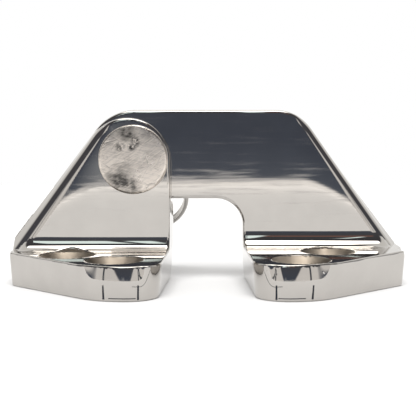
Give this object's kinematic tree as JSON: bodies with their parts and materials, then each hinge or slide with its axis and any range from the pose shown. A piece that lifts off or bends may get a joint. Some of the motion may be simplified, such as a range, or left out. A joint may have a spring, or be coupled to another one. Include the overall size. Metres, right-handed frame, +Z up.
{
  "type": "deck hinge with removable pin",
  "caption": "Polished cast stainless boat hinge: an ear leaf and a bridge-arm leaf on flat feet, lapped and joined by a headed pull-out pin held by a split ring",
  "frame": {"origin": "on the deck plane, straight below the hinge pin's axis, in the plane where the ear and the bridge arm lap", "axes": "+X from the ear leaf to the arm leaf, +Y to the back of the hinge, towards the split ring, +Z up, away from the deck"},
  "size_m": [0.0716, 0.0438, 0.0319],
  "materials": {
    "cast_leaf": "mirror-polished cast stainless steel",
    "pin_steel": "satin turned stainless steel with handling scratches",
    "ring_wire": "drawn stainless spring wire"
  },
  "bodies": {
    "ear": {"ear_leaf": "cast_leaf"},
    "arm": {"arm_leaf": "cast_leaf"},
    "pin": {"hinge_pin": "pin_steel"},
    "ring": {"split_ring": "ring_wire"}
  },
  "joints": [
    {"name": "leaf_fold", "type": "hinge", "parent": "ear", "child": "arm", "pos_m": [0, 0, 0.0224], "axis": [0, -1, 0], "range_deg": [0, 180]},
    {"name": "pin_turn", "type": "hinge", "parent": "ear", "child": "pin", "pos_m": [0, 0, 0.0224], "axis": [0, 1, 0], "continuous": true},
    {"name": "ring_swing", "type": "hinge", "parent": "pin", "child": "ring", "pos_m": [0, 0.0081, 0.0224], "axis": [1, 0, 0], "range_deg": [-38, 138]}
  ]
}
